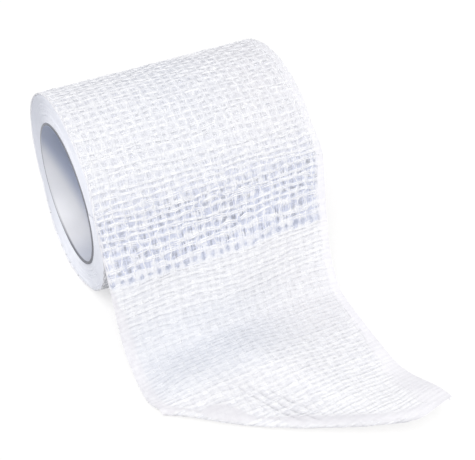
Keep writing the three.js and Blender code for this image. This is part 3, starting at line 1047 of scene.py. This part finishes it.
def wound_edges_finish():
    """The edges of the wound turns: closely pressed selvedges, pale with soft mottling, and painted shade
    towards the back.
    """
    finish = Finish("wound_edges")
    place = finish.object_place()
    mottling = finish.noise(place, 260.0, 3.0, 0.55)
    fibres = finish.noise(place, 2600.0, 3.0, 0.7)
    y = finish.split(place)[1]
    pale = finish.mix(finish.fade(mottling, 0.3, 0.7), EDGES_DARK, EDGES_LIGHT)
    finish.set(
        Base_Color=finish.mix(finish.fade(y, 2 * MM, 15 * MM), pale, EDGES_SHADE_AT_BACK),
        Roughness=fibres * 0.1 + 0.85,
        Normal=finish.bump(fibres + mottling, 0.05 * MM, 0.8),
        Specular_IOR_Level=0.15,
    )
    return finish.material


def core_wall_finish():
    """Smooth pale plastic, with painted shade making it darker and bluer further in, towards the top and at
    the front, and dark at its very edge.
    """
    finish = Finish("core_plastic")
    place = finish.object_place()
    x, y, z = finish.split(place)
    streaks = finish.noise(finish.join(x * 120, y * 500, z * 500), 1.0, 3.0, 0.6)
    clouds = finish.noise(place, 160.0)
    depth = BANDAGE_WIDTH / 2 * MM - abs(x)
    inward = depth - y * 0.15 + (z - AXIS_HEIGHT * MM) * 0.414
    # painted shade: darker further in and towards the top, and at the front
    darker = finish.fade(inward, -1.5 * MM, 1.1 * MM)
    darker = darker.math("MAXIMUM", finish.fade(y, 4 * MM, -3 * MM) * 0.45)
    pale = finish.mix(finish.fade(clouds, 0.3, 0.7), WALL_DARK, WALL_LIGHT)
    shaded = finish.mix(darker, pale, WALL_DEEP_SHADE)
    rim_edge = finish.fade(depth, 0.4 * MM, 0.15 * MM) * finish.fade(y, 13 * MM, -1 * MM)
    finish.set(
        Base_Color=finish.mix(rim_edge, shaded, RIM_LIGHT),
        Roughness=streaks * 0.16 + 0.36,
        Normal=finish.bump(streaks, 0.01 * MM, 0.5),
    )
    return finish.material


def core_rim_finish():
    """The tube's cut ends: dark, with painted light making them paler at the back."""
    finish = Finish("core_cut_rim")
    place = finish.object_place()
    y = finish.split(place)[1]
    grain = finish.noise(place, 1800.0, 3.0, 0.6)
    dark = finish.mix(grain, RIM_DARK, RIM_LIGHT)
    finish.set(
        Base_Color=finish.mix(finish.fade(y, 1 * MM, 11 * MM) * 0.4, dark, RIM_PAINTED_LIGHT),
        Roughness=grain * 0.2 + 0.5,
        Normal=finish.bump(grain, 0.02 * MM),
    )
    return finish.material


# ---- the pieces ----

CUT_BACK = 0.25  # the last yarns stop this far short of the cut
WOUND_START = -OUTER_TURN_LENGTH - 0.6
FIRST_WOUND_ROW = int(WOUND_START / ROW_PITCH)
LAST_ROW = int((WEAVE_LENGTH - 0.3) / ROW_PITCH)
WOUND_WEFT_STEP = 0.62
LOOSE_WEFT_STEP = 0.42
RIM_FACES_LOOK_OUT = 0.6


def make_gauze():
    """The outermost wound turn and the loose end, each as wefts, warps and the fluff between them."""
    yarn, fluff = yarn_finish(), fluff_finish()
    turn = [
        weft_piece("outer_turn_wefts", FIRST_WOUND_ROW, -1, WOUND_WEFT_STEP),
        warp_piece("outer_turn_warps", WOUND_START, 0.0, ROW_PITCH / 2.5),
        fluff_piece("outer_turn_fluff", WOUND_START, 0.0, ROW_PITCH / 2),
    ]
    loose = [
        weft_piece("loose_end_wefts", 0, LAST_ROW, LOOSE_WEFT_STEP),
        warp_piece("loose_end_warps", 0.0, WEAVE_LENGTH - CUT_BACK, ROW_PITCH / 3),
        fluff_piece("loose_end", 0.0, WEAVE_LENGTH, ROW_PITCH / 3),
    ]
    for piece, material in zip(turn + loose, (yarn, yarn, fluff) * 2):
        piece.data.materials.append(material)
    return turn, loose


turn, loose = make_gauze()

body = wound_body()
body.data.materials.append(under_turns_finish())
body.data.materials.append(wound_edges_finish())

core = wound_core()
core.data.materials.append(core_wall_finish())
core.data.materials.append(core_rim_finish())
for face in core.data.polygons:
    face.material_index = int(abs(face.normal.x) > RIM_FACES_LOOK_OUT)

for piece in (*turn, *loose, body):
    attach(piece, "root")
    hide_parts("bandage")
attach(core, "root")
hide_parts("core")


# ---- floor, light and camera ----


SHADOW_MIDDLE = -10 * MM
SHADOW_FADES_BESIDE = (15 * MM, 22 * MM)
SHADOW_FADES_BEFORE = (12 * MM, 24 * MM)


def make_floor():
    """A floor that the camera sees as near white, with the object's shadow kept soft and pale."""
    bpy.ops.mesh.primitive_plane_add(size=4)
    floor = bpy.context.active_object
    floor.name = "floor"
    finish = Finish("pale_floor")
    seen = finish.add("LightPath", None, None, "Is Camera Ray")
    x, y, _ = finish.split(finish.object_place())
    beside = finish.fade(abs(x), *SHADOW_FADES_BESIDE)
    before = finish.fade(abs(y - SHADOW_MIDDLE), *SHADOW_FADES_BEFORE)
    away = beside.math("MAXIMUM", before)
    plain = finish.mix(away, colour(0.5, 0.5, 0.51), colour(0.25, 0.25, 0.25))
    glow = finish.mix(away, colour(0.52, 0.52, 0.52), colour(0.77, 0.765, 0.76))
    finish.set(
        Base_Color=finish.mix(seen, colour(0.86, 0.865, 0.87), plain),
        Emission_Color=finish.mix(seen, colour(0, 0, 0), glow),
        Emission_Strength=1.0,
        Roughness=1.0,
        Specular_IOR_Level=0.0,
    )
    floor.data.materials.append(finish.material)


def make_sky():
    """A soft pale room that the camera sees as plain white."""
    world = bpy.data.worlds.new("pale_room")
    bpy.context.scene.world = world
    room = Nodes(world)
    soft = room.tree.nodes["Background"]
    room.feed(soft.inputs["Color"], colour(0.93, 0.945, 1.0))
    room.feed(soft.inputs["Strength"], 0.56)
    white = room.add("Background", None, {"Color": colour(1, 1, 1)})
    seen = room.add("LightPath", None, None, "Is Camera Ray")
    shown = seen.math("MAXIMUM", room.add("LightPath", None, None, "Is Transmission Ray"))
    chosen = room.add("MixShader", None, {0: shown, 1: Value(room, soft.outputs[0]), 2: white})
    room.feed(room.tree.nodes["World Output"].inputs["Surface"], chosen)


def make_lamp(name, comes_from, strength, softness, tint):
    lamp = bpy.data.lights.new(name, "SUN")
    lamp.energy = strength
    lamp.angle = math.radians(softness)
    lamp.color = tint
    holder = placed(name, lamp)
    holder.rotation_euler = Vector(comes_from).to_track_quat("Z", "Y").to_euler()


CAMERA_PLACE = Vector((-0.05281, -0.12785, 0.11884))
CAMERA_TARGET = Vector((0.0038, -0.0184, 0.0145))
LENS = 72


def make_camera():
    camera = bpy.data.cameras.new("camera")
    camera.lens = LENS
    camera.sensor_width = 36
    camera.clip_start = 0.01
    camera.clip_end = 20
    holder = placed("camera", camera)
    holder.location = CAMERA_PLACE
    holder.rotation_euler = (CAMERA_PLACE - CAMERA_TARGET).to_track_quat("Z", "Y").to_euler()
    bpy.context.scene.camera = holder


make_floor()
make_sky()
make_lamp("key", comes_from=(-0.3, -0.42, 0.87), strength=2.1, softness=30, tint=(1.0, 0.985, 0.96))
make_camera()
bpy.context.scene.view_settings.view_transform = "Standard"
